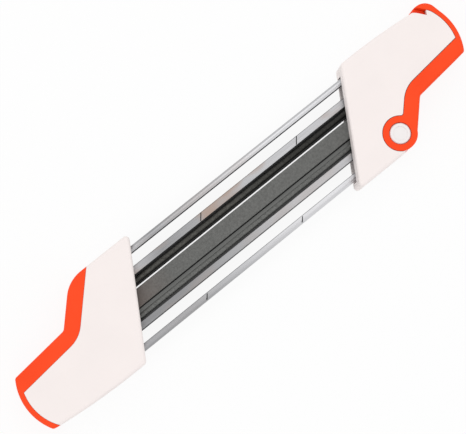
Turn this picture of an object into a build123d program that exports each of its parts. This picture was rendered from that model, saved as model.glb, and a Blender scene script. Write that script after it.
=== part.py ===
from build123d import *
from math import atan2, cos, degrees, hypot, radians, sin, sqrt, tan
import os

os.makedirs("parts", exist_ok=True)

# A hand-held chainsaw file guide lies flat, with the side that faces its user upwards.
# X runs along the tool to the handle with the lock lever, Y across it, Z up from the floor.
# The two handles have the same outline, turned by half a turn about the middle of the tool.
# Every handle is drawn as the one on the +X side, and its side value (1 or -1) turns it.

# Overall sizes
overall_length = 360.0
body_width = 69.2
handle_thickness = 24.0

# Outline of a handle, seen from above
filing_slant = 31.0            # degrees from square, the guide angle of the inner edges
file_reach = 14.4              # how far the files run past the inner edges, on the axis
grip_run = 33.4                # how far the grip's bend lies past the files' ends
grip_side_start = 12.4         # how far the grip's side lies below the axis where it starts
grip_side_end = 8.3            # and at the end of the handle
shoulder_angle = 46.0          # degrees, slope of the shoulder
long_side_fall = 4.2           # how far the long side comes in by the end of the handle
end_setback_high = 5.2         # how far the two end corners lie behind the furthest point
end_setback_low = 6.0
long_side_bow = 1.4            # how far the long side bows out between its ends
corner_radius = 2.4
bend_radius = 4.0
bend_growth = 1.6              # how much that radius grows with the distance further in
shoulder_radius = 22.0
rim_radius = 2.0               # rounding of the upper rim
lower_rim_chamfer = 1.0

# Shells
shell_wall = 2.6
web_thickness = 7.4            # of the webs that carry the screws
rib_thickness = 1.6
rib_height = 5.5
rib_shares = (0.0, 0.3)        # places of the ribs along the grip
fit_gap = 0.15                 # between pieces that stay still
running_gap = 0.4              # between pieces that move past each other
overrun = 1.0                  # how far a cut runs past the face it opens

# Orange strip of both handles: flanges above and below, a wall along the side and the end
strip_width = 10.0
end_width = 3.4                # of its flanges along the end
flange_thickness = 3.0
strip_wall = 2.5

# Lock lever and its pivot
pivot_setback = 4.5            # how far the pivot lies before the foot of the shoulder
ring_radius = 11.15
ring_edge = 0.25               # how far the ring lies inside the side of the handle
ring_blend = 2.0               # radius between the ring and the strip
cap_chamfer = 0.6
floor_gap = 0.3                # the moving lever stays clear of the floor
knuckle_radius = 10.8
cap_radius = 6.7
cap_dish_radius = 4.6
cap_dish_depth = 0.5
cap_bore_depth = 1.6
pin_radius = 2.5
lever_wall_start = 8.0         # how far past the pivot the side wall of the lever starts
sweep_radius = 14.2            # room for the wall's root when the lever swings
sweep_margin = 12.0            # degrees, how far that room starts before the root
swing_room = 118.0             # degrees, the angle of that room

# Finger hook at the end of the lever
hook_length = 16.2             # how far its tip lies before the end
hook_rise = 1.8                # how far the tooth's foot lies further out than the end's corner
hook_back_rise = 3.1           # and how far its back does
hook_back_setback = 3.9        # how far the back's corner lies before the end
hook_back_radius = 9.0
hook_tip_chamfer = 2.3
hook_root_fall = 8.4           # how far below the end's corner its back meets the end
tooth_width = 3.9
tooth_height = 15.0
hollow_depth = 3.2             # depth of the hollow behind the tooth
shelf_thickness = 3.0          # of the hollow's floor
recess_width = 7.8             # how far the finger recess in the shells runs from the tip

# Guide plates
plate_file_gap = 0.65          # between a round file and the plate beside it
plate_edge_gap = 6.15          # between a plate and the side of the body
inner_rail_width = 4.6
outer_rail_width = 4.35
plate_thickness = 1.5
plate_reach = 14.5             # how far the plates run into the handles
plate_end_band = 9.0           # solid end of the plate past the slot
flange_depth = 7.0
plate_bend_radius = 2.4
rest_height = 10.0             # height of the face that rests on the cutters
plate_pin_width = 2.8
plate_pin_length = 13.0

# Files
file_length = 200.0
round_file_diameter = 5.5
round_file_offset = 9.44
flat_file_width = 10.3
flat_file_thickness = 4.0
depth_gauge_setting = 0.65     # how far the flat file's face lies below the rest face
proud_share = 0.2              # share of the round file's diameter above the rest face
file_chamfer = 0.5
flat_file_edge = 0.25          # chamfer along the flat file's edges

# Seats that hold the files and the plates
seat_depth = 17.0
seat_side_gap = 0.9
window_margin = 0.95
window_low = 3.6
window_high = 14.6

# Screws
near_screw_gap = 5.2           # how far the near screw lies behind the seat, along X
near_screw_rise = 17.2         # and from the pivot, across the tool
end_screw_setback = 16.5       # how far the end screw lies before the end
screw_radius = 1.4
screw_head_radius = 2.8
screw_head_height = 2.2
screw_length = 15.5
screw_recess = 1.2             # how deep the heads lie in the lower shell
screw_drive_radius = 1.2
screw_drive_depth = 1.2

# Worked out from the sizes above
half_length = overall_length / 2
half_width = body_width / 2
inner_edge_start = file_length / 2 - file_reach - half_width * tan(radians(filing_slant))
grip_start = file_length / 2 + grip_run
end_height_high = half_width - long_side_fall
end_height_middle = (end_height_high - grip_side_end) / 2
split_height = handle_thickness / 2
inner_edge_end = inner_edge_start + body_width * tan(radians(filing_slant))
shoulder_start = grip_start - (half_width - grip_side_start) / tan(radians(shoulder_angle))
end_corner_high = Vector(half_length - end_setback_high, end_height_high)
end_corner_low = Vector(half_length - end_setback_low, -grip_side_end)
end_middle = Vector(half_length, end_height_middle)
pivot = Vector(shoulder_start - pivot_setback, ring_radius + ring_edge - half_width)
hook_tip = Vector(half_length - hook_length, end_height_high + hook_rise)
hook_reach = (hook_tip - pivot).length
hollow_reach = hook_reach + hollow_depth
tooth_low = (handle_thickness - tooth_height) / 2
grip_angle = degrees(atan2(grip_side_start - grip_side_end, end_corner_low.X - grip_start))
round_file_height = rest_height + (proud_share - 0.5) * round_file_diameter
wall_run = shell_wall / cos(radians(filing_slant))
knuckle_top = handle_thickness - flange_thickness - running_gap
plate_inner = round_file_offset + round_file_diameter / 2 + plate_file_gap
plate_outer = half_width - plate_edge_gap
slot_inner = plate_inner + inner_rail_width
slot_outer = plate_outer - outer_rail_width
plate_middle = (slot_inner + slot_outer) / 2
seat_back = wall_run + fit_gap + seat_depth
seat_half_width = half_width - shell_wall - seat_side_gap
window_half_width = plate_outer + window_margin
lever_wall_angle = degrees(atan2(ring_radius, lever_wall_start))


def level(side, height):
    """Plane of a handle at a height: side 1 for the lever's handle, -1 for the other."""
    return Plane(origin=(0, 0, height), x_dir=(side, 0, 0), z_dir=(0, 0, 1))


def inner_edge_x(y):
    """X of the slanted inner edge at a distance y across the tool."""
    return inner_edge_start + (y + half_width) * tan(radians(filing_slant))


open_span = 2 * inner_edge_x(0)
plate_length = open_span + 2 * plate_reach
near_screw_y = pivot.Y + near_screw_rise
screw_places = (
    (inner_edge_x(near_screw_y) + seat_back + near_screw_gap, near_screw_y),
    (half_length - end_screw_setback, end_height_middle),
)


def circle_through(first, middle, last):
    """Centre and radius of the circle through three points."""
    a, b = middle - first, last - first
    cross = 2 * (a.X * b.Y - a.Y * b.X)
    square_a, square_b = a.X**2 + a.Y**2, b.X**2 + b.Y**2
    shift = Vector((b.Y * square_a - a.Y * square_b) / cross, (a.X * square_b - b.X * square_a) / cross)
    return first + shift, hypot(shift.X, shift.Y)


end_centre, end_radius = circle_through(end_corner_high, end_middle, end_corner_low)


def handle_profile():
    """Outline of a handle: slanted inner edge, long side, rounded end, grip and shoulder."""
    inner_high = Vector(inner_edge_end, half_width)
    bow = (inner_high + end_corner_high) * 0.5 + Vector(0, long_side_bow)
    with BuildSketch() as profile:
        with BuildLine():
            ThreePointArc(inner_high, bow, end_corner_high)
            ThreePointArc(end_corner_high, end_middle, end_corner_low)
            Polyline(
                end_corner_low,
                (grip_start, -grip_side_start),
                (shoulder_start, -half_width),
                (inner_edge_start, -half_width),
                inner_high,
            )
        make_face()
        corners = profile.vertices()
        shoulder = corners.sort_by_distance((shoulder_start, -half_width))[0]
        fillet(shoulder, radius=shoulder_radius)
        bend = profile.vertices().sort_by_distance((grip_start, -grip_side_start))[0]
        fillet(bend, radius=bend_radius)
        for corner in (inner_high, end_corner_high, end_corner_low, Vector(inner_edge_start, -half_width)):
            near = profile.vertices().sort_by_distance(corner)[0]
            fillet(near, radius=corner_radius)
    return profile.sketch


def inset_zone(side_inset, end_inset):
    """Everything further in than a strip along the shoulder, the grip's side and the end."""
    reach = overall_length
    half_turn = radians(shoulder_angle - grip_angle) / 2
    outward = radians((shoulder_angle + grip_angle) / 2 + 90)
    miter = side_inset / cos(half_turn)
    bend = Vector(grip_start + miter * cos(outward), -grip_side_start + miter * sin(outward))
    low = bend - Vector(cos(radians(shoulder_angle)), sin(radians(shoulder_angle))) * body_width
    far = bend + Vector(cos(radians(grip_angle)), sin(radians(grip_angle))) * reach
    with BuildSketch() as zone:
        with BuildLine():
            Polyline((0, low.Y), low, bend, far, (far.X, reach), (0, reach), (0, low.Y), close=True)
        make_face()
        vertex = zone.vertices().sort_by_distance(bend)[0]
        fillet(vertex, radius=bend_radius + side_inset * bend_growth)
        with BuildSketch(mode=Mode.INTERSECT):
            with Locations(end_centre):
                Circle(end_radius - end_inset)
            with Locations((end_centre.X / 2, 0)):
                Rectangle(end_centre.X, 2 * reach)
    return zone.sketch


def rim_zone(side_inset, end_inset):
    """The strip along the shoulder, the grip's side and the end, and all beyond it."""
    with BuildSketch() as rim:
        with Locations((half_length, 0)):
            Rectangle(2 * half_length, overall_length)
        add(inset_zone(side_inset, end_inset), mode=Mode.SUBTRACT)
    return rim.sketch


def arm_side(start):
    """The half of the plane on the arm's side of the pivot, past a start distance."""
    heading = Vector(cos(radians(shoulder_angle)), sin(radians(shoulder_angle)))
    centre = pivot + heading * (start + half_length)
    with BuildSketch() as half:
        with Locations(Location((centre.X, centre.Y), shoulder_angle)):
            Rectangle(overall_length, 2 * overall_length)
    return half.sketch


def handle_blank(side):
    """A handle as one solid with rounded rims, from which its pieces are cut."""
    with BuildPart() as blank:
        with BuildSketch(level(side, 0)):
            add(handle_profile())
        extrude(amount=handle_thickness)
        fillet(blank.edges().group_by(Axis.Z)[-1], radius=rim_radius)
        chamfer(blank.edges().group_by(Axis.Z)[0], length=lower_rim_chamfer)
    return blank.part


def cavity_profile():
    """Hollow of a handle, one wall inside its white cover and clear of the hook's path."""
    with BuildSketch() as cavity:
        add(handle_profile())
        add(inset_zone(strip_width, strip_wall), mode=Mode.INTERSECT)
        offset(amount=-shell_wall, kind=Kind.INTERSECTION)
        with Locations(pivot):
            Circle(hook_reach - running_gap - shell_wall, mode=Mode.INTERSECT)
    return cavity.sketch


def slanted_band(start, end, reach):
    """Band that follows the slanted inner edge, between two distances along X behind it."""
    with BuildSketch() as band:
        with BuildLine():
            Polyline(
                (inner_edge_x(-reach) + start, -reach),
                (inner_edge_x(-reach) + end, -reach),
                (inner_edge_x(reach) + end, reach),
                (inner_edge_x(reach) + start, reach),
                close=True,
            )
        make_face()
    return band.sketch


def swing_sector():
    """Ring-shaped room round the knuckle for the root of the lever's wall."""
    first = shoulder_angle - lever_wall_angle + sweep_margin
    with BuildSketch() as sector:
        with BuildLine():
            turns = (0, swing_room / 2, swing_room)
            rays = [Vector(1, 0).rotate(Axis.Z, first - turn) * overall_length for turn in turns]
            Polyline(pivot, *[pivot + ray for ray in rays], pivot, close=True)
        make_face()
        with Locations(pivot):
            Circle(sweep_radius, mode=Mode.INTERSECT)
            Circle(knuckle_radius, mode=Mode.SUBTRACT)
    return sector.sketch


def strip_plan(gap):
    """Outline of the orange strip's flanges, wider by a gap, and all beyond it."""
    return rim_zone(strip_width + gap, end_width + gap)


def lever_plan(gap):
    """Outline of the lever's flanges, wider by a gap: the strip and a ring, blended."""
    heading = Vector(cos(radians(shoulder_angle)), sin(radians(shoulder_angle)))
    outward = Vector(heading.Y, -heading.X)
    foot = Vector(shoulder_start, -half_width) - pivot
    across = foot.dot(outward) - strip_width - gap
    along = sqrt((ring_radius + gap) ** 2 - across**2)
    with BuildSketch() as plan:
        add(strip_plan(gap))
        add(arm_side(0), mode=Mode.INTERSECT)
        with Locations(pivot):
            Circle(ring_radius + gap)
        corner = plan.vertices().sort_by_distance(pivot + heading * along + outward * across)[0]
        fillet(corner, radius=ring_blend - gap)
    return plan.sketch


def far_corner(reach, start, end):
    """The far corner past a reach from the pivot, between two places along X."""
    with BuildSketch() as corner:
        with Locations(((start + end) / 2, half_width)):
            Rectangle(end - start, body_width)
        with Locations(pivot):
            Circle(reach, mode=Mode.SUBTRACT)
    return corner.sketch


def trim_pocket():
    """Room in the left shells for the fixed strip."""
    with BuildPart() as pocket:
        for height in (-overrun, handle_thickness - flange_thickness - fit_gap):
            with BuildSketch(level(-1, height)):
                add(strip_plan(fit_gap))
            extrude(amount=flange_thickness + fit_gap + overrun)
        with BuildSketch(level(-1, -overrun)):
            add(rim_zone(strip_wall + fit_gap, strip_wall + fit_gap))
        extrude(amount=handle_thickness + 2 * overrun)
    return pocket.part


def lever_pocket():
    """Room in the right shells for the lever: flanges, wall, its root's path and the hook."""
    hook_start = hook_tip.X - running_gap
    with BuildPart() as pocket:
        for height in (-overrun, knuckle_top):
            with BuildSketch(level(1, height)):
                add(lever_plan(running_gap))
            extrude(amount=flange_thickness + running_gap + overrun)
        with BuildSketch(level(1, -overrun)):
            add(rim_zone(strip_wall + running_gap, strip_wall + running_gap))
            add(arm_side(lever_wall_start - running_gap), mode=Mode.INTERSECT)
            add(swing_sector())
            add(far_corner(hollow_reach - running_gap, hook_start, overall_length))
        extrude(amount=handle_thickness + 2 * overrun)
        with BuildSketch(level(1, tooth_low - running_gap)):
            add(far_corner(hook_reach - running_gap, hook_start, overall_length))
        extrude(amount=tooth_height + 2 * running_gap)
        with BuildSketch(level(1, tooth_low)):
            add(far_corner(hook_reach - running_gap, hook_start, hook_tip.X + recess_width))
        extrude(amount=handle_thickness)
    return pocket.part


def half_shell(side, pocket, is_upper):
    """Upper or lower half of a handle, hollow, with screw webs, ribs and the file window."""
    floor = split_height if is_upper else shell_wall
    ceiling = handle_thickness - shell_wall if is_upper else split_height
    with BuildPart() as shell:
        add(handle_blank(side))
        with BuildSketch(level(side, 0 if is_upper else split_height)):
            Rectangle(2 * overall_length, 2 * overall_length)
        extrude(amount=split_height if is_upper else handle_thickness, mode=Mode.SUBTRACT)
        with BuildSketch(level(side, floor)):
            add(cavity_profile())
        extrude(amount=ceiling - floor, mode=Mode.SUBTRACT)
        with BuildSketch(level(side, floor)):
            for place in screw_places:
                with Locations((place[0], 0)):
                    Rectangle(web_thickness, body_width)
            add(cavity_profile(), mode=Mode.INTERSECT)
            add(slanted_band(-half_length, seat_back + fit_gap, body_width), mode=Mode.SUBTRACT)
        extrude(amount=ceiling - floor)
        with BuildSketch(level(side, ceiling - rib_height if is_upper else floor)):
            for share in rib_shares:
                with Locations((grip_start + share * (half_length - grip_start), 0)):
                    Rectangle(rib_thickness, body_width)
            add(cavity_profile(), mode=Mode.INTERSECT)
        extrude(amount=rib_height)
        with BuildSketch(level(side, window_low)):
            add(slanted_band(-overrun, wall_run + overrun, window_half_width))
        extrude(amount=window_high - window_low, mode=Mode.SUBTRACT)
        add(pocket, mode=Mode.SUBTRACT)
        with BuildSketch(level(side, 0)):
            with Locations(*screw_places):
                hole_radius = screw_radius if is_upper else screw_radius + fit_gap
                RegularPolygon(hole_radius, 6, major_radius=False)
        extrude(amount=screw_recess + screw_length + fit_gap, mode=Mode.SUBTRACT)
        if not is_upper:
            with BuildSketch(level(side, 0)):
                with Locations(*screw_places):
                    Circle(screw_head_radius + fit_gap)
            extrude(amount=screw_recess + screw_head_height, mode=Mode.SUBTRACT)
        if side == 1:
            with BuildSketch(level(side, 0)):
                with Locations(pivot):
                    Circle(pin_radius + fit_gap)
            extrude(amount=handle_thickness, mode=Mode.SUBTRACT)
    return shell


def cross_plane(side, x):
    """Upright plane across a handle's axis at a distance x, looking outwards."""
    return Plane(origin=(side * x, 0, 0), x_dir=(0, side, 0), z_dir=(side, 0, 0))


def skew(y):
    """How far a piece that spans the two slanted inner edges is shifted along X at y."""
    return y * tan(radians(filing_slant))


plate_pin_places = tuple(
    (skew(y) + (plate_length - plate_end_band) / 2, y) for y in (plate_middle, -plate_middle)
)


def file_seat(side):
    """Block behind the slanted wall of a handle, with sockets for the files and plates."""
    with BuildPart() as seat:
        with BuildSketch(level(side, shell_wall)):
            add(slanted_band(wall_run + fit_gap, seat_back, seat_half_width))
        extrude(amount=handle_thickness - 2 * shell_wall)
        for half in (1, -1):
            with BuildSketch(cross_plane(side, skew(half * round_file_offset) + file_length / 2)):
                with Locations((half * round_file_offset, round_file_height)):
                    Rectangle(round_file_diameter + 2 * fit_gap, round_file_diameter + 2 * fit_gap)
            extrude(amount=-file_length / 2, mode=Mode.SUBTRACT)
            with BuildSketch(cross_plane(side, skew(half * plate_middle) + plate_length / 2 + fit_gap)):
                with Locations((half * (plate_inner + plate_outer) / 2, rest_height)):
                    width = plate_outer - plate_inner + 2 * fit_gap
                    Rectangle(width, plate_thickness + fit_gap, align=(Align.CENTER, Align.MIN))
                with Locations((half * (plate_outer - plate_thickness), rest_height + plate_thickness)):
                    width = 2 * (plate_thickness + fit_gap)
                    Rectangle(width, flange_depth + fit_gap, align=(Align.CENTER, Align.MAX))
            extrude(amount=-plate_length / 2, mode=Mode.SUBTRACT)
        with BuildSketch(cross_plane(side, file_length / 2 + fit_gap)):
            with Locations((0, rest_height - depth_gauge_setting)):
                width = flat_file_width + 2 * fit_gap
                Rectangle(width, flat_file_thickness + fit_gap, align=(Align.CENTER, Align.MIN))
        extrude(amount=-file_length / 2, mode=Mode.SUBTRACT)
        with BuildSketch(level(side, shell_wall)):
            with Locations(*plate_pin_places):
                Rectangle(plate_pin_width + 2 * fit_gap, plate_pin_width + 2 * fit_gap)
        extrude(amount=plate_pin_length, mode=Mode.SUBTRACT)
    return seat


def plate_pins(side):
    """The two square upright pins that hold the ends of the plates in a seat."""
    with BuildPart() as pins:
        with BuildSketch(level(side, shell_wall)):
            with Locations(*plate_pin_places):
                Rectangle(plate_pin_width, plate_pin_width)
        extrude(amount=plate_pin_length)
    return pins


def handle_screws(side):
    """The two screws that close a handle from below, with flat heads and a hexagon drive."""
    with BuildPart() as screws:
        with BuildSketch(level(side, screw_recess)):
            with Locations(*screw_places):
                Circle(screw_head_radius)
        extrude(amount=screw_head_height)
        with BuildSketch(level(side, screw_recess)):
            with Locations(*screw_places):
                Circle(screw_radius)
        extrude(amount=screw_length)
        with BuildSketch(level(side, screw_recess)):
            with Locations(*screw_places):
                RegularPolygon(screw_drive_radius, 6)
        extrude(amount=screw_drive_depth, mode=Mode.SUBTRACT)
    return screws


def guide_plate(side):
    """Steel plate beside a round file: a long slot, and an outer edge bent down."""
    with BuildPart() as plate:
        with BuildSketch(cross_plane(side, skew(plate_middle) - plate_length / 2)) as section:
            with BuildLine():
                Polyline(
                    (plate_inner, rest_height),
                    (plate_outer - plate_thickness, rest_height),
                    (plate_outer - plate_thickness, rest_height + plate_thickness - flange_depth),
                    (plate_outer, rest_height + plate_thickness - flange_depth),
                    (plate_outer, rest_height + plate_thickness),
                    (plate_inner, rest_height + plate_thickness),
                    close=True,
                )
            make_face()
            outer_bend = (plate_outer, rest_height + plate_thickness)
            inner_bend = (plate_outer - plate_thickness, rest_height)
            corners = section.vertices()
            fillet(corners.sort_by_distance(outer_bend)[0], radius=plate_bend_radius)
            corners = section.vertices()
            bend_inside = plate_bend_radius - plate_thickness
            fillet(corners.sort_by_distance(inner_bend)[0], radius=bend_inside)
        extrude(amount=plate_length)
        with BuildSketch(level(side, rest_height - overrun)):
            with Locations((skew(plate_middle), plate_middle)):
                Rectangle(plate_length - 2 * plate_end_band, slot_outer - slot_inner)
            pin_reach = (plate_length - plate_end_band) / 2
            for end in (1, -1):
                with Locations((skew(plate_middle) + end * pin_reach, plate_middle)):
                    Rectangle(plate_pin_width + 2 * fit_gap, plate_pin_width + 2 * fit_gap)
        extrude(amount=plate_thickness + 2 * overrun, mode=Mode.SUBTRACT)
    return plate


def round_file(side):
    """Round file with chamfered ends."""
    with BuildPart() as rod:
        with BuildSketch(cross_plane(side, skew(round_file_offset) - file_length / 2)):
            with Locations((round_file_offset, round_file_height)):
                Circle(round_file_diameter / 2)
        extrude(amount=file_length)
        chamfer(rod.edges().filter_by(GeomType.CIRCLE), length=file_chamfer)
    return rod


def hook_blank():
    """Block with rounded rims round the far corner, from which the finger hook is cut."""
    back = Vector(half_length - hook_back_setback, end_height_high + hook_back_rise)
    root_y = end_height_high - hook_root_fall
    root = Vector(end_centre.X + sqrt(end_radius**2 - (root_y - end_centre.Y) ** 2), root_y)
    foot = root + (root - back).normalized() * end_width
    with BuildPart() as block:
        with BuildSketch(level(1, 0)) as outline:
            with BuildLine():
                Polyline((hook_tip.X, foot.Y), (hook_tip.X, back.Y), back, foot, close=True)
            make_face()
            fillet(outline.vertices().sort_by_distance(back)[0], radius=hook_back_radius)
            tip = outline.vertices().sort_by_distance((hook_tip.X, back.Y))[0]
            chamfer(tip, length=hook_tip_chamfer)
        extrude(amount=handle_thickness)
        fillet(block.edges().group_by(Axis.Z)[-1], radius=rim_radius)
        chamfer(block.edges().group_by(Axis.Z)[0], length=lower_rim_chamfer)
    return block.part


def finger_hook():
    """Finger hook: a back round the far corner, a tooth at its tip, a floor behind that."""
    with BuildPart() as back:
        add(hook_blank())
        with BuildSketch(level(1, 0)):
            with Locations(pivot):
                Circle(hollow_reach)
        extrude(amount=handle_thickness, mode=Mode.SUBTRACT)
    with BuildPart() as inside:
        with BuildSketch(level(1, tooth_low)):
            add(far_corner(hook_reach, hook_tip.X, hook_tip.X + tooth_width))
        extrude(amount=tooth_height)
        with BuildSketch(level(1, tooth_low)):
            add(far_corner(hook_reach, hook_tip.X, half_length))
        extrude(amount=shelf_thickness)
        add(hook_blank(), mode=Mode.INTERSECT)
    return back.part + inside.part


# Room in the shells for the orange pieces
left_room = trim_pocket()
right_room = lever_pocket()

# White shells of the handles
left_upper_shell = half_shell(-1, left_room, True)
left_lower_shell = half_shell(-1, left_room, False)
right_upper_shell = half_shell(1, right_room, True)
right_lower_shell = half_shell(1, right_room, False)

# Fixed orange strip of the left handle
with BuildPart() as left_trim:
    for height in (0, handle_thickness - flange_thickness):
        with BuildSketch(level(-1, height)):
            add(strip_plan(0))
        extrude(amount=flange_thickness)
    with BuildSketch(level(-1, 0)):
        add(rim_zone(strip_wall, strip_wall))
    extrude(amount=handle_thickness)
    add(handle_blank(-1), mode=Mode.INTERSECT)

# Lock lever: two ring-ended flanges, a side wall, an end wall and a finger hook
with BuildPart() as lock_lever:
    for height in (0, handle_thickness - flange_thickness):
        with BuildSketch(level(1, height)):
            add(lever_plan(0))
        extrude(amount=flange_thickness)
    with BuildSketch(level(1, 0)):
        add(rim_zone(strip_wall, strip_wall))
        add(arm_side(lever_wall_start), mode=Mode.INTERSECT)
    extrude(amount=handle_thickness)
    add(handle_blank(1), mode=Mode.INTERSECT)
    add(finger_hook())
    for height in (0, handle_thickness - flange_thickness):
        with BuildSketch(level(1, height)):
            with Locations(pivot):
                Circle(ring_radius)
        extrude(amount=flange_thickness)
    with BuildSketch(level(1, 0)):
        with Locations(pivot):
            Circle(cap_radius + running_gap)
    extrude(amount=handle_thickness, mode=Mode.SUBTRACT)
    with BuildSketch(level(1, 0)):
        Rectangle(2 * overall_length, 2 * overall_length)
    extrude(amount=floor_gap, mode=Mode.SUBTRACT)

# Pivot of the lever: a steel pin with a white cap at each end
with BuildPart() as pivot_pin:
    with BuildSketch(level(1, handle_thickness - knuckle_top - cap_bore_depth)):
        with Locations(pivot):
            Circle(pin_radius)
    extrude(amount=2 * knuckle_top - handle_thickness + 2 * cap_bore_depth)


def pivot_cap(is_upper):
    """Round cap in the lever's ring with a blind bore for the pin; the upper one is dished."""
    turn = 1 if is_upper else -1
    seat = knuckle_top if is_upper else handle_thickness - knuckle_top
    height = handle_thickness - knuckle_top - (0 if is_upper else floor_gap)
    base = Plane(origin=(pivot.X, pivot.Y, seat), z_dir=(0, 0, turn))
    with BuildPart() as cap:
        with BuildSketch(base):
            Circle(cap_radius)
        extrude(amount=height)
        if is_upper:
            rim = cap.edges().filter_by(GeomType.CIRCLE).sort_by(Axis.Z)[-1]
            chamfer(rim, length=cap_chamfer)
            with BuildSketch(base.offset(height)):
                Circle(cap_dish_radius)
            extrude(amount=-cap_dish_depth, mode=Mode.SUBTRACT)
        with BuildSketch(base):
            Circle(pin_radius)
        extrude(amount=cap_bore_depth, mode=Mode.SUBTRACT)
    return cap


upper_pivot_cap = pivot_cap(True)
lower_pivot_cap = pivot_cap(False)

# Seats, pins and screws of both handles
left_file_seat = file_seat(-1)
right_file_seat = file_seat(1)
left_plate_pins = plate_pins(-1)
right_plate_pins = plate_pins(1)
left_screws = handle_screws(-1)
right_screws = handle_screws(1)

# Plates and files
guide_plate_a = guide_plate(1)
guide_plate_b = guide_plate(-1)
round_file_a = round_file(1)
round_file_b = round_file(-1)

with BuildPart() as flat_file:
    with BuildSketch(cross_plane(1, -file_length / 2)):
        with Locations((0, rest_height - depth_gauge_setting)):
            Rectangle(flat_file_width, flat_file_thickness, align=(Align.CENTER, Align.MIN))
    extrude(amount=file_length)
    chamfer(flat_file.edges().filter_by(Axis.X), length=flat_file_edge)

pieces = {
    "left_upper_shell": left_upper_shell,
    "left_lower_shell": left_lower_shell,
    "left_trim": left_trim,
    "left_file_seat": left_file_seat,
    "left_plate_pins": left_plate_pins,
    "left_screws": left_screws,
    "right_upper_shell": right_upper_shell,
    "right_lower_shell": right_lower_shell,
    "lock_lever": lock_lever,
    "pivot_pin": pivot_pin,
    "upper_pivot_cap": upper_pivot_cap,
    "lower_pivot_cap": lower_pivot_cap,
    "right_file_seat": right_file_seat,
    "right_plate_pins": right_plate_pins,
    "right_screws": right_screws,
    "guide_plate_a": guide_plate_a,
    "guide_plate_b": guide_plate_b,
    "round_file_a": round_file_a,
    "round_file_b": round_file_b,
    "flat_file": flat_file,
}

for name, piece in pieces.items():
    piece.part.label = name
    export_step(piece.part, f"parts/{name}.step")
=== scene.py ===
from math import cos, pi, radians, sin, sqrt, tan

import bmesh
import bpy
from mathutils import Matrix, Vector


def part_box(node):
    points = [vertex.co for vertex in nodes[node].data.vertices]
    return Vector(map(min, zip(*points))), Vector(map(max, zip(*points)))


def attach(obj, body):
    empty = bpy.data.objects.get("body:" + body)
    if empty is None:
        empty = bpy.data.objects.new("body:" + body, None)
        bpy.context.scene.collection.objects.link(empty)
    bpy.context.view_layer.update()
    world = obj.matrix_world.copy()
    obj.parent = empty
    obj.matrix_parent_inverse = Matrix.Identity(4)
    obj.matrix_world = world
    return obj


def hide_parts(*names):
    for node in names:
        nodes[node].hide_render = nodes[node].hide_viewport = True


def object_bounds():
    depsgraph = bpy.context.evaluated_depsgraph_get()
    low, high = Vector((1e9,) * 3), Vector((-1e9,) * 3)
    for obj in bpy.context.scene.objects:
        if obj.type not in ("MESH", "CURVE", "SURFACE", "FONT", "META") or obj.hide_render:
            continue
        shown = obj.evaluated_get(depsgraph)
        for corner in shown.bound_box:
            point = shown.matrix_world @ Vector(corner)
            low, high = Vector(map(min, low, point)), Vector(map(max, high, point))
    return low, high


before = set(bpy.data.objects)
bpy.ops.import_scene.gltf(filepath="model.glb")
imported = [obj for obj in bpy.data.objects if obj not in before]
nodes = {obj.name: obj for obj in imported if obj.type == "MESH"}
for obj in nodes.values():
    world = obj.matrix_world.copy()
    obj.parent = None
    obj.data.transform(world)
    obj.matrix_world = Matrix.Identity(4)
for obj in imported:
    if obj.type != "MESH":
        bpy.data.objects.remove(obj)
cad_low, cad_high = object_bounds()
plate_low, plate_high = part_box("guide_plate_a")
flat_low, flat_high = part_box("flat_file")

# Camera: nearly square-on, seen from a long way off, the tool's axis rising to the right
camera_place = (-0.121, -0.042, 0.900)
camera_turn = (6.82, -3.89, -39.19)
camera_lens = 110.2
camera_sensor = 36.0
camera_reach = 20.0

# Light and floor: the floor lies a hair below the tool, so that no faces coincide
world_strength = 0.84
key_power = 3.6
key_size = 1.1
key_place = (0.35, 0.75, 1.25)
fill_power = 2.2
fill_size = 1.4
fill_place = (-0.75, -0.55, 1.15)
floor_size = 8.0
floor_drop = 0.0002
floor_tone = 0.9
floor_glow_share = 0.9

# Files: pitch and depth of the teeth, the gullet's place in the pitch, and how far the teeth lean
tooth_pitch = 0.0007
tooth_depth = 0.00011
gullet_share = 0.3
round_starts = 8
round_sides = 40
flat_lean = 25.0
flat_corner = 0.00025
same_place = 1e-7

# Guide plates: widths of their rails, with a slot between them
inner_rail_width = 0.0046
outer_rail_width = 0.00435
slot_inner = plate_low.y + inner_rail_width
slot_outer = plate_high.y - outer_rail_width

# Angle ticks on the inner rail of side A and the outer rail of side B
tick_lean = 40.0
tick_width = 0.0008
tick_height = 0.00004
inner_tick_places = (-0.0226, 0.0556)
outer_tick_places = (-0.0511, 0.0264)
inner_tick_share = 0.92
outer_tick_share = 0.7

# Handles: slant of their inner edges, and where those edges cross the tool's middle line
filing_slant = 31.0
inner_edge_middle = 0.0856

# Soft edges of the small pieces
strip_bevel = 0.00008
corner_bevel = 0.00008
web_bevel = 0.0003
bevel_steps = 2

# Strips beside the files, the dark ones standing in for the shade in the gaps beside the round files:
# how far they run into the handles, and outlines of distances and heights
strip_run = 0.002
plate_strip_outline = (
    (0.0, 0.0113),
    (0.0, 0.01005),
    (0.00095, 0.01005),
    (0.00120, 0.01035),
    (0.00125, 0.01080),
    (0.00085, 0.01130),
)
middle_strip_outline = (
    (0.0, 0.01095),
    (0.0, 0.0096),
    (0.00168, 0.0096),
    (0.00200, 0.01005),
    (0.00242, 0.0105),
    (0.00300, 0.01085),
    (0.00290, 0.01095),
)
slit_strip_outline = (
    (0.00100, 0.0104),
    (0.00100, 0.0096),
    (0.00168, 0.0096),
    (0.00200, 0.01005),
    (0.00230, 0.0104),
)

# Finger hook: pivot of the lever, radii from it and places along X
hook_pivot = (0.10746, -0.0232)
web_start = 0.16765
web_end = 0.17125
web_inner = 0.07905
web_outer = 0.08215
web_low = 0.0074
web_high = 0.0194
corner_start = 0.1699
corner_end = 0.1716
corner_inner = 0.07862
corner_outer = 0.08178
corner_low = 0.01995
arc_steps = 6
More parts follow.
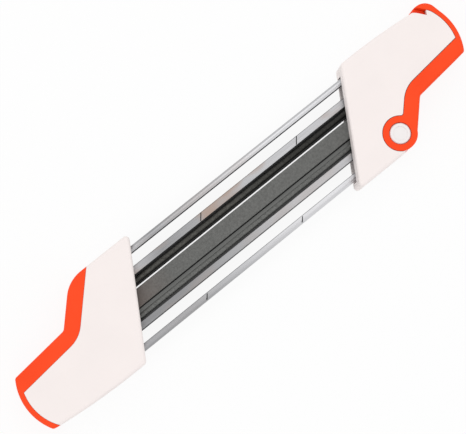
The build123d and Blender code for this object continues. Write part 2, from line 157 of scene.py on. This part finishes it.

# Colours of lines and layers that lie over another colour
# line_colour: the real parting line between the shells, and the painted shade and painted shadow lines
# along the slot edges and the flat file's edge
line_colour = (0.012, 0.012, 0.013)
# black painted shade round the round files, leaving a painted highlight strip
painted_shade_black = (0.006, 0.006, 0.006)
temper_brown = (0.175, 0.145, 0.132)
patch_brown = (0.37, 0.29, 0.25)

# Moulded plastic: counts to a metre of its clouds, gloss patches and grain, and the grain's height
cloud_count = 45
patch_count = 160
mould_grain = 2600.0
cap_grain = 4200.0
mould_height = 0.00003
mould_rough_less = 0.05
mould_rough_more = 0.07

# Parting line between the shells of a handle
parting_height = 0.012
parting_width = 0.0003
parting_strength = 0.8

# Ground steel: counts of its streaks to a metre along each axis, and their height
plate_streaks = (30, 5200, 5200)
pin_streaks = (900, 900, 900)
streak_height = 0.000004
ground_rough_less = 0.04
ground_rough_more = 0.06

# Painted reflection on the rails, the same steel lit differently: dim towards the left end, where side A
# turns pale again inside the handle's edge, and lighter on the outer rails than the inner ones
dim_tone = 0.56
dim_start = -0.06
dim_end = 0.03
slot_near = 0.018
slot_far = 0.023
inner_rail_tone = 0.86
outer_rail_tone_a = 0.98
outer_rail_tone_b = 1.40
pale_tone = 1.6
pale_start = -0.072
pale_end = -0.054
side_change = 0.001

# Brownish patches: strongest on the inner rail of side A
patch_cloud_counts = (26, 60, 60)
patch_cloud_shift = (0.33, 0, 0)
patch_start = 0.5
patch_full = 0.64
patch_strength = 0.95
outer_patch_share = 0.2
side_b_patch_share = 0.25

# Painted shade lines along the edges of the slots, and a painted shadow line along the flat file's edge
dark_line_width = 0.0013
dark_line_strength_a = 0.95
dark_line_strength_b = 0.8
pale_line_width = 0.0007
pale_line_strength = 0.6
flat_file_shadow_width = 0.0008

# File steel: share of metal, counts to a metre of its mottle and grain, and the grain's height
file_metal = 0.85
mottle_count = 700
file_grain = 4000
file_grain_height = 0.00002
file_rough_less = 0.08
file_rough_more = 0.12
dimmed_tone = 0.5
temper_strength = 0.75

# Painted highlight strips of the round files, with painted black shade round the rest: lean from
# straight up in degrees, and facing from start to full
painted_highlight_a = {"node": "round_file_a", "lean": -3, "start": 0.55, "end": 1.0}
painted_highlight_b = {"node": "round_file_b", "lean": 12, "start": -0.05, "end": 0.4}
dimmed_stretch = (0.0, 0.05)
temper_stretch = (-0.088, -0.058)


# Shader nodes


def new_material(name, colour, rough, metal=0.0):
    """A material with a Principled shader; returns it with its tree and shader."""
    material = bpy.data.materials.new(name)
    material.use_nodes = True
    material.diffuse_color = (*colour, 1)
    tree = material.node_tree
    shader = tree.nodes["Principled BSDF"]
    shader.inputs["Base Color"].default_value = (*colour, 1)
    shader.inputs["Roughness"].default_value = rough
    shader.inputs["Metallic"].default_value = metal
    return material, tree, shader


def place(tree, scale, shift=(0, 0, 0)):
    """Position on the object, scaled along each axis and then shifted."""
    coordinates = tree.nodes.new("ShaderNodeTexCoord")
    mapping = tree.nodes.new("ShaderNodeMapping")
    mapping.inputs["Scale"].default_value = scale
    mapping.inputs["Location"].default_value = shift
    tree.links.new(coordinates.outputs["Object"], mapping.inputs["Vector"])
    return mapping.outputs["Vector"]


def noise(tree, counts, detail=2.0, rough=0.5, shift=(0, 0, 0)):
    """Noise whose grain is a count to a metre along each axis."""
    texture = tree.nodes.new("ShaderNodeTexNoise")
    texture.inputs["Scale"].default_value = 1.0
    texture.inputs["Detail"].default_value = detail
    texture.inputs["Roughness"].default_value = rough
    tree.links.new(place(tree, counts, shift), texture.inputs["Vector"])
    return texture.outputs["Fac"]


def even_noise(tree, count, detail=2.0, rough=0.5):
    """Noise of the same grain along all axes."""
    return noise(tree, (count, count, count), detail, rough)


def ramp(tree, value, low, high, start=0.3, end=0.7):
    """A value spread from low to high as the input goes from start to end."""
    spread = tree.nodes.new("ShaderNodeMapRange")
    spread.inputs["From Min"].default_value = start
    spread.inputs["From Max"].default_value = end
    spread.inputs["To Min"].default_value = low
    spread.inputs["To Max"].default_value = high
    tree.links.new(value, spread.inputs["Value"])
    return spread.outputs["Result"]


def spot_on_axis(tree, axis):
    """Position on the object along one axis, in metres."""
    coordinates = tree.nodes.new("ShaderNodeTexCoord")
    parts = tree.nodes.new("ShaderNodeSeparateXYZ")
    tree.links.new(coordinates.outputs["Object"], parts.inputs["Vector"])
    return parts.outputs[axis]


def from_middle(tree, axis):
    """Distance from the middle plane across one axis, in metres."""
    distance = tree.nodes.new("ShaderNodeMath")
    distance.operation = "ABSOLUTE"
    tree.links.new(spot_on_axis(tree, axis), distance.inputs[0])
    return distance.outputs["Value"]


def near(tree, value, spot, width):
    """1 inside a line of a width round a spot, and 0 beside it."""
    compare = tree.nodes.new("ShaderNodeMath")
    compare.operation = "COMPARE"
    compare.inputs[1].default_value = spot
    compare.inputs[2].default_value = width / 2
    tree.links.new(value, compare.inputs[0])
    return compare.outputs["Value"]


def times(tree, first, second):
    """Product of two values."""
    product = tree.nodes.new("ShaderNodeMath")
    product.operation = "MULTIPLY"
    tree.links.new(first, product.inputs[0])
    tree.links.new(second, product.inputs[1])
    return product.outputs["Value"]


def scaled(tree, colour, value):
    """A colour made lighter or darker by a value."""
    product = tree.nodes.new("ShaderNodeVectorMath")
    product.operation = "SCALE"
    tree.links.new(colour, product.inputs[0])
    tree.links.new(value, product.inputs["Scale"])
    return product.outputs["Vector"]


def blend_colour(tree, value, first, second):
    """A colour between two, by a value from 0 to 1."""
    mix = tree.nodes.new("ShaderNodeMix")
    mix.data_type = "RGBA"
    mix.inputs["A"].default_value = (*first, 1)
    mix.inputs["B"].default_value = (*second, 1)
    tree.links.new(value, mix.inputs["Factor"])
    return mix.outputs["Result"]


def lay_over(tree, mask, under, colour, strength=1.0):
    """Puts a colour over another one, where a mask says and at a strength."""
    mix = tree.nodes.new("ShaderNodeMix")
    mix.data_type = "RGBA"
    mix.inputs["B"].default_value = (*colour, 1)
    tree.links.new(ramp(tree, mask, 0.0, strength, 0.0, 1.0), mix.inputs["Factor"])
    tree.links.new(under, mix.inputs["A"])
    return mix.outputs["Result"]


def bump(tree, shader, height, distance):
    """Adds a bump of a real height to a shader."""
    node = tree.nodes.new("ShaderNodeBump")
    node.inputs["Distance"].default_value = distance
    tree.links.new(height, node.inputs["Height"])
    tree.links.new(node.outputs["Normal"], shader.inputs["Normal"])


# Materials


def moulded_plastic(name, colour, shade, rough, gloss, grain=mould_grain, parting=None):
    """Moulded plastic: spark-eroded grain, a faint unevenness, and maybe a parting line."""
    material, tree, shader = new_material(name, colour, rough)
    shader.inputs["Specular IOR Level"].default_value = gloss
    cloud = ramp(tree, even_noise(tree, cloud_count, detail=3.0), 0.0, 1.0)
    tint = blend_colour(tree, cloud, colour, shade)
    if parting:
        mask = near(tree, spot_on_axis(tree, "Z"), parting, parting_width)
        tint = lay_over(tree, mask, tint, line_colour, parting_strength)
    tree.links.new(tint, shader.inputs["Base Color"])
    patches = even_noise(tree, patch_count, detail=4.0)
    gloss_patches = ramp(tree, patches, rough - mould_rough_less, rough + mould_rough_more)
    tree.links.new(gloss_patches, shader.inputs["Roughness"])
    bump(tree, shader, even_noise(tree, grain, detail=3.0, rough=0.6), mould_height)
    return material


def ground_steel(name, colour, shade, rough, streaks=plate_streaks):
    """Ground steel: fine streaks in colour, gloss and height. Returns its tree, shader and tint too."""
    material, tree, shader = new_material(name, colour, rough, 1.0)
    lines = noise(tree, streaks, detail=4.0, rough=0.65)
    tint = blend_colour(tree, ramp(tree, lines, 0.0, 1.0), colour, shade)
    tree.links.new(tint, shader.inputs["Base Color"])
    gloss_lines = ramp(tree, lines, rough - ground_rough_less, rough + ground_rough_more)
    tree.links.new(gloss_lines, shader.inputs["Roughness"])
    bump(tree, shader, lines, streak_height)
    return material, tree, shader, tint


def rail_reflection_tones(tree, tint):
    """Painted reflection: lightens and dims a colour along the rails, and from the inner to the outer
    ones.
    """
    along = spot_on_axis(tree, "X")
    across = spot_on_axis(tree, "Y")
    tint = scaled(tree, tint, ramp(tree, along, dim_tone, 1.0, dim_start, dim_end))
    tint = scaled(
        tree, tint, ramp(tree, across, inner_rail_tone, outer_rail_tone_a, slot_near, slot_far)
    )
    tint = scaled(tree, tint, ramp(tree, across, outer_rail_tone_b, 1.0, -slot_far, -slot_near))
    side_a = ramp(tree, across, 0.0, 1.0, -side_change, side_change)
    pale = times(tree, side_a, ramp(tree, along, 1.0, 0.0, pale_start, pale_end))
    return scaled(tree, tint, ramp(tree, pale, 1.0, pale_tone, 0.0, 1.0))


def brownish_patches(tree):
    """Where and how strongly the rails get brownish patches."""
    clouds = noise(tree, patch_cloud_counts, shift=patch_cloud_shift)
    brownish = ramp(tree, clouds, 0.0, patch_strength, patch_start, patch_full)
    inner = ramp(tree, from_middle(tree, "Y"), 1.0, outer_patch_share, slot_near, slot_far)
    side_a = ramp(tree, spot_on_axis(tree, "Y"), side_b_patch_share, 1.0, -side_change, side_change)
    return times(tree, times(tree, brownish, inner), side_a)


def slot_edge_shade_lines(tree, tint):
    """Painted shade: dark lines along the edges of both slots, wide on one edge of each and narrow on
    the other.
    """
    across = spot_on_axis(tree, "Y")
    for spot, width, strength in (
        (slot_outer, dark_line_width, dark_line_strength_a),
        (slot_inner, pale_line_width, pale_line_strength),
        (-slot_inner, dark_line_width, dark_line_strength_b),
        (-slot_outer, pale_line_width, pale_line_strength),
    ):
        tint = lay_over(tree, near(tree, across, spot, width), tint, line_colour, strength)
    return tint


def plate_steel(name, colour, shade, rough):
    """Steel of the guide plates: ground, with painted reflection in its tones, brownish patches, and
    painted shade lines along the edges of the slots.
    """
    material, tree, shader, tint = ground_steel(name, colour, shade, rough)
    # painted reflection: the rails' tones from how the studio light falls on them
    tint = rail_reflection_tones(tree, tint)
    tint = lay_over(tree, brownish_patches(tree), tint, patch_brown)
    # painted shade lines along the slot edges
    tree.links.new(slot_edge_shade_lines(tree, tint), shader.inputs["Base Color"])
    return material


def away_from_painted_highlight(tree, node, lean, start, end):
    """0 on the side of a round file that a leaning line points to, 1 round the rest of it: the mask of
    the painted black shade that leaves a painted highlight strip.
    """
    low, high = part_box(node)
    radius = (high.z - low.z) / 2
    coordinates = tree.nodes.new("ShaderNodeTexCoord")
    shifted = tree.nodes.new("ShaderNodeVectorMath")
    shifted.operation = "SUBTRACT"
    shifted.inputs[1].default_value = (low + high) / 2
    tree.links.new(coordinates.outputs["Object"], shifted.inputs[0])
    facing = tree.nodes.new("ShaderNodeVectorMath")
    facing.operation = "DOT_PRODUCT"
    facing.inputs[1].default_value = (0, sin(radians(lean)) / radius, cos(radians(lean)) / radius)
    tree.links.new(shifted.outputs["Vector"], facing.inputs[0])
    return ramp(tree, facing.outputs["Value"], 1.0, 0.0, start, end)


def file_steel(name, colour, shade, rough, painted_highlight=None, dimmed=None, browned=None):
    """Hardened file steel, mottled. A round file gets painted black shade round it but for a painted
    highlight strip on one side.

    A stretch along X may be dimmed towards its end, or browned towards its start.
    """
    material, tree, shader = new_material(name, colour, rough, file_metal)
    mottle = even_noise(tree, mottle_count, detail=5.0, rough=0.7)
    tint = blend_colour(tree, ramp(tree, mottle, 0.0, 1.0), colour, shade)
    if dimmed:
        tint = scaled(tree, tint, ramp(tree, spot_on_axis(tree, "X"), 1.0, dimmed_tone, *dimmed))
    if painted_highlight:
        # painted black shade round the round file, leaving its painted highlight strip
        tint = lay_over(tree, away_from_painted_highlight(tree, **painted_highlight), tint, painted_shade_black)
    if browned:
        end = ramp(tree, spot_on_axis(tree, "X"), 1.0, 0.0, *browned)
        tint = lay_over(tree, end, tint, temper_brown, temper_strength)
    tree.links.new(tint, shader.inputs["Base Color"])
    gloss_mottle = ramp(tree, mottle, rough - file_rough_less, rough + file_rough_more)
    tree.links.new(gloss_mottle, shader.inputs["Roughness"])
    bump(tree, shader, even_noise(tree, file_grain), file_grain_height)
    return material


def strip_steel(name, colour, shade, rough):
    """Steel of the thin strip beside the flat file, with a painted shadow of that file as a dark line
    along its edge.
    """
    material, tree, shader, tint = ground_steel(name, colour, shade, rough)
    shader.inputs["Metallic"].default_value = file_metal
    # painted shadow of the flat file as a dark line along its edge
    edge = near(tree, spot_on_axis(tree, "Y"), flat_low.y - flat_file_shadow_width / 2, flat_file_shadow_width)
    tree.links.new(lay_over(tree, edge, tint, line_colour), shader.inputs["Base Color"])
    return material


def pin_steel(name, colour, shade, rough):
    """Steel of the pins and screws, with an even grain."""
    return ground_steel(name, colour, shade, rough, pin_streaks)[0]


materials = {
    "white_plastic": moulded_plastic(
        "white_plastic", (0.925, 0.850, 0.829), (0.905, 0.832, 0.812), 0.48, 0.3, parting=parting_height
    ),
    "orange_plastic": moulded_plastic(
        "orange_plastic", (1.0, 0.070, 0.010), (0.96, 0.062, 0.008), 0.5, 0.2
    ),
    "cap_plastic": moulded_plastic(
        "cap_plastic", (0.90, 0.86, 0.85), (0.87, 0.83, 0.82), 0.42, 0.3, grain=cap_grain
    ),
    "seat_plastic": moulded_plastic(
        "seat_plastic", (0.035, 0.035, 0.037), (0.05, 0.05, 0.05), 0.5, 0.3
    ),
    "plate_steel": plate_steel("plate_steel", (0.61, 0.61, 0.622), (0.47, 0.47, 0.485), 0.4),
    # round file A: a darker copy of the file steel, painted shade from the rail beside it
    "file_steel": file_steel(
        "file_steel",
        (0.106, 0.104, 0.094),
        (0.048, 0.047, 0.043),
        0.42,
        painted_highlight=painted_highlight_a,
        dimmed=dimmed_stretch,
    ),
    # round file B: a lighter copy of the same file steel, painted light
    "file_steel_lit_b": file_steel(
        "file_steel_lit_b", (0.165, 0.167, 0.16), (0.11, 0.112, 0.108), 0.42, painted_highlight=painted_highlight_b
    ),
    "flat_file_steel": file_steel(
        "flat_file_steel", (0.165, 0.166, 0.16), (0.125, 0.126, 0.121), 0.5, browned=temper_stretch
    ),
    "strip_steel": strip_steel("strip_steel", (0.15, 0.152, 0.147), (0.11, 0.112, 0.108), 0.45),
    # black and grey strips that stand in for shade in the gaps beside the files
    "shade_strip_black": moulded_plastic(
        "shade_strip_black", (0.010, 0.010, 0.010), (0.016, 0.016, 0.016), 0.55, 0.2
    ),
    "shade_strip_grey": moulded_plastic(
        "shade_strip_grey", (0.035, 0.035, 0.036), (0.045, 0.045, 0.046), 0.55, 0.2
    ),
    "pin_steel": pin_steel("pin_steel", (0.55, 0.55, 0.56), (0.45, 0.45, 0.46), 0.3),
    "screw_steel": pin_steel("screw_steel", (0.48, 0.48, 0.49), (0.38, 0.38, 0.39), 0.35),
    "tick_ink": moulded_plastic("tick_ink", (0.008, 0.008, 0.008), (0.015, 0.015, 0.015), 0.6, 0.2),
}

slot_nodes = {
    "white_plastic": ("left_upper_shell", "left_lower_shell", "right_upper_shell", "right_lower_shell"),
    "orange_plastic": ("left_trim", "lock_lever"),
    "cap_plastic": ("upper_pivot_cap", "lower_pivot_cap"),
    "seat_plastic": ("left_file_seat", "right_file_seat"),
    "plate_steel": ("guide_plate_a", "guide_plate_b"),
    "pin_steel": ("pivot_pin", "left_plate_pins", "right_plate_pins"),
    "screw_steel": ("left_screws", "right_screws"),
}

for slot, names in slot_nodes.items():
    for name in names:
        for held in nodes[name].material_slots:
            held.material = materials[slot]


# Pieces


def finish_piece(mesh, name, slot, body, material=None):
    """Puts a bmesh in the scene as a piece with its material, on a body."""
    data = bpy.data.meshes.new(name)
    mesh.to_mesh(data)
    mesh.free()
    piece = bpy.data.objects.new(name, data)
    bpy.context.scene.collection.objects.link(piece)
    data.materials.append(materials[material or slot])
    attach(piece, body)
    return piece


def cut_ends(mesh, start, end):
    """Cuts a mesh square at two places along X and closes it with a flat face at each."""
    for x, side in ((start, -1), (end, 1)):
        geometry = mesh.verts[:] + mesh.edges[:] + mesh.faces[:]
        bmesh.ops.bisect_plane(
            mesh, geom=geometry, plane_co=(x, 0, 0), plane_no=(side, 0, 0), clear_outer=True
        )
        rim = [
            edge for edge in mesh.edges
            if edge.is_boundary and abs(edge.verts[0].co.x - x) < same_place
        ]
        bmesh.ops.contextual_create(mesh, geom=rim)
    bmesh.ops.recalc_face_normals(mesh, faces=mesh.faces)


def tooth_row(row):
    """Place along a file and depth of a row of its mesh: even rows are tips, odd rows are gullets."""
    if row % 2:
        return (row // 2 + gullet_share) * tooth_pitch, tooth_depth
    return row // 2 * tooth_pitch, 0.0


def toothed_rod(node, name, slot, material):
    """Round file with a spiral of cut teeth: the rows of the mesh follow the spiral."""
    low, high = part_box(node)
    centre = (low + high) / 2
    radius = (high.z - low.z) / 2
    lead = tooth_pitch * round_starts
    rows = int((high.x - low.x + 2 * lead) / tooth_pitch) * 2
    mesh = bmesh.new()
    grid = []
    for side in range(round_sides):
        angle = 2 * pi * side / round_sides
        start = low.x - 2 * lead + lead * side / round_sides
        line = []
        for row in range(rows + 1):
            along, depth = tooth_row(row)
            y = centre.y + (radius - depth) * cos(angle)
            z = centre.z + (radius - depth) * sin(angle)
            line.append(mesh.verts.new((start + along, y, z)))
        grid.append(line)
    for side in range(round_sides):
        wraps = side == round_sides - 1
        step = 2 * round_starts if wraps else 0
        line = grid[side]
        other = grid[0 if wraps else side + 1]
        for row in range(rows - step):
            mesh.faces.new((line[row], line[row + 1], other[row + step + 1], other[row + step]))
    cut_ends(mesh, low.x, high.x)
    rod = finish_piece(mesh, name, slot, "root", material)
    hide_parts(node)


def toothed_bar(node, name, slot):
    """Flat file with slanted teeth on both faces and plain narrow edges."""
    low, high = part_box(node)
    half = (high.y - low.y) / 2
    lean = tan(radians(flat_lean))
    margin = half * lean + tooth_pitch
    rows = int((high.x - low.x + 2 * margin) / tooth_pitch) * 2
    section = (
        (-half, low.z + flat_corner, 0),
        (-half, high.z - flat_corner, 0),
        (-half + flat_corner, high.z, -1),
        (half - flat_corner, high.z, -1),
        (half, high.z - flat_corner, 0),
        (half, low.z + flat_corner, 0),
        (half - flat_corner, low.z, 1),
        (-half + flat_corner, low.z, 1),
    )
    mesh = bmesh.new()
    rings = []
    for row in range(rows + 1):
        along, depth = tooth_row(row)
        x = low.x - margin + along
        rings.append([mesh.verts.new((x + y * lean, y, z + turn * depth)) for y, z, turn in section])
    for first, second in zip(rings, rings[1:]):
        for corner in range(len(section)):
            other = (corner + 1) % len(section)
            mesh.faces.new((first[corner], first[other], second[other], second[corner]))
    cut_ends(mesh, low.x, high.x)
    bar = finish_piece(mesh, name, slot, "root")
    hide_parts(node)


def prism(outline, low, high, lift, bevel):
    """Closed body over an outline of points, between two levels, with soft edges."""
    mesh = bmesh.new()
    foot = mesh.faces.new([mesh.verts.new(lift(*point, low)) for point in outline])
    grown = bmesh.ops.extrude_face_region(mesh, geom=[foot])["geom"]
    top = [part for part in grown if isinstance(part, bmesh.types.BMVert)]
    shift = [a - b for a, b in zip(lift(0, 0, high), lift(0, 0, low))]
    bmesh.ops.translate(mesh, vec=shift, verts=top)
    bmesh.ops.recalc_face_normals(mesh, faces=mesh.faces)
    bmesh.ops.bevel(
        mesh, geom=mesh.edges[:], offset=bevel, segments=bevel_steps, profile=0.5, affect="EDGES"
    )
    return mesh


def along_x(y, z, x):
    """Point of an outline that is drawn across the tool and runs along X."""
    return (x, y, z)


def upright(x, y, z):
    """Point of an outline that is drawn from above and rises along Z."""
    return (x, y, z)


def file_strip(name, edge, way, outline, slot, material):
    """Thin strip beside an edge, from just inside one handle to just inside the other; the dark ones
    stand in for the shade in the gaps beside the files.

    Its outline gives each point's distance from the edge and its height.
    """
    section = [(edge + way * distance, height) for distance, height in outline]
    across = sum(y for y, z in section) / len(section)
    slant = across * tan(radians(filing_slant))
    reach = inner_edge_middle + strip_run
    mesh = prism(section, slant - reach, slant + reach, along_x, strip_bevel)
    finish_piece(mesh, name, slot, "root", material)


def ring_point(x, radius):
    """Point at a place along X on a circle round the lever's pivot."""
    return (x, hook_pivot[1] + sqrt(radius**2 - (x - hook_pivot[0]) ** 2))


def hook_web():
    """Filling behind the tooth of the lever's finger hook."""
    places = [web_start + (web_end - web_start) * step / arc_steps for step in range(arc_steps + 1)]
    outline = [ring_point(x, web_inner) for x in places]
    outline += [ring_point(x, web_outer) for x in reversed(places)]
    mesh = prism(outline, web_low, web_high, upright, web_bevel)
    finish_piece(mesh, "hook_web", "orange_plastic", "lever")


def cover_corner():
    """Small corner of the white cover beside the finger hook."""
    outline = (
        ring_point(corner_end, corner_inner),
        ring_point(corner_end, corner_outer),
        ring_point(corner_start, corner_inner),
    )
    mesh = prism(outline, corner_low, cad_high.z, upright, corner_bevel)
    finish_piece(mesh, "cover_corner", "white_plastic", "root")


def angle_tick(name, x, y, width):
    """Thin black mark that leans across a rail, half sunk in its top."""
    half = width / 2
    lean = tan(radians(tick_lean))
    mesh = bmesh.new()
    corners = []
    for height in (plate_high.z - tick_height, plate_high.z + tick_height):
        for across, side in ((-half, -1), (-half, 1), (half, 1), (half, -1)):
            along = x + across * lean + side * tick_width / 2
            corners.append(mesh.verts.new((along, y + across, height)))
    mesh.faces.new(corners[3::-1])
    mesh.faces.new(corners[4:])
    for corner in range(4):
        other = (corner + 1) % 4
        mesh.faces.new((corners[corner], corners[other], corners[other + 4], corners[corner + 4]))
    bmesh.ops.recalc_face_normals(mesh, faces=mesh.faces)
    finish_piece(mesh, name, "seat_plastic", "root", "tick_ink")


toothed_rod("round_file_a", "round_file_teeth_a", "file_steel", "file_steel")
toothed_rod("round_file_b", "round_file_teeth_b", "file_steel", "file_steel_lit_b")
toothed_bar("flat_file", "flat_file_teeth", "flat_file_steel")

# dark strips standing in for shade in the gaps beside the round files and in the slit; the middle one is
# steel carrying a painted shadow line
file_strip("shade_strip_a", plate_low.y, -1, plate_strip_outline, "seat_plastic", "shade_strip_black")
file_strip("shade_strip_b", -plate_low.y, 1, plate_strip_outline, "seat_plastic", "shade_strip_grey")
file_strip("file_strip_middle", flat_low.y, -1, middle_strip_outline, "file_steel", "strip_steel")
file_strip("shade_strip_slit", flat_high.y, 1, slit_strip_outline, "seat_plastic", "shade_strip_black")

hook_web()
cover_corner()

inner_rail_middle = plate_low.y + inner_rail_width / 2
outer_rail_middle = plate_high.y - outer_rail_width / 2
for count, x in enumerate(inner_tick_places, 1):
    angle_tick(f"tick_inner_{count}", x, inner_rail_middle, inner_rail_width * inner_tick_share)
for count, x in enumerate(outer_tick_places, 1):
    angle_tick(f"tick_outer_{count}", x, -outer_rail_middle, outer_rail_width * outer_tick_share)


# Surroundings


def shown_white(tree, plain, strength):
    """A strength where the camera, a reflection or clear material sees it, and a plain one elsewhere."""
    path = tree.nodes.new("ShaderNodeLightPath")
    seen = path.outputs["Is Camera Ray"]
    for kind in ("Is Glossy Ray", "Is Transmission Ray"):
        most = tree.nodes.new("ShaderNodeMath")
        most.operation = "MAXIMUM"
        tree.links.new(seen, most.inputs[0])
        tree.links.new(path.outputs[kind], most.inputs[1])
        seen = most.outputs["Value"]
    return ramp(tree, seen, plain, strength, 0.0, 1.0)


def white_world():
    """White surroundings that light the tool a little less than they show."""
    world = bpy.data.worlds.new("studio")
    world.use_nodes = True
    bpy.context.scene.world = world
    tree = world.node_tree
    backing = tree.nodes["Background"]
    backing.inputs["Color"].default_value = (1, 1, 1, 1)
    tree.links.new(shown_white(tree, world_strength, 1.0), backing.inputs["Strength"])


def pale_floor():
    """Pale matt floor that shows nearly white and keeps the tool's shadow."""
    bpy.ops.mesh.primitive_plane_add(size=floor_size, location=(0, 0, -floor_drop))
    floor = bpy.context.object
    floor.name = "floor"
    material, tree, shader = new_material("floor", (floor_tone,) * 3, 1.0)
    shader.inputs["Specular IOR Level"].default_value = 0.0
    glow = tree.nodes.new("ShaderNodeEmission")
    both = tree.nodes.new("ShaderNodeMixShader")
    tree.links.new(shown_white(tree, 0.0, floor_glow_share), both.inputs["Fac"])
    tree.links.new(shader.outputs["BSDF"], both.inputs[1])
    tree.links.new(glow.outputs["Emission"], both.inputs[2])
    tree.links.new(both.outputs["Shader"], tree.nodes["Material Output"].inputs["Surface"])
    floor.data.materials.append(material)


def soft_light(name, spot, size, power):
    """Square area light that points at the middle of the tool."""
    data = bpy.data.lights.new(name, "AREA")
    data.size = size
    data.energy = power
    lamp = bpy.data.objects.new(name, data)
    lamp.location = spot
    bpy.context.scene.collection.objects.link(lamp)
    lamp.rotation_mode = "QUATERNION"
    lamp.rotation_quaternion = lamp.location.to_track_quat("Z", "Y")


def main_camera():
    """Camera at the photograph's viewing angle."""
    data = bpy.data.cameras.new("camera")
    data.lens = camera_lens
    data.sensor_width = camera_sensor
    data.clip_end = camera_reach
    camera = bpy.data.objects.new("camera", data)
    camera.location = camera_place
    camera.rotation_euler = [radians(angle) for angle in camera_turn]
    bpy.context.scene.collection.objects.link(camera)
    bpy.context.scene.camera = camera


white_world()
pale_floor()
soft_light("key", key_place, key_size, key_power)
soft_light("fill", fill_place, fill_size, fill_power)
main_camera()

bpy.context.scene.view_settings.view_transform = "Standard"
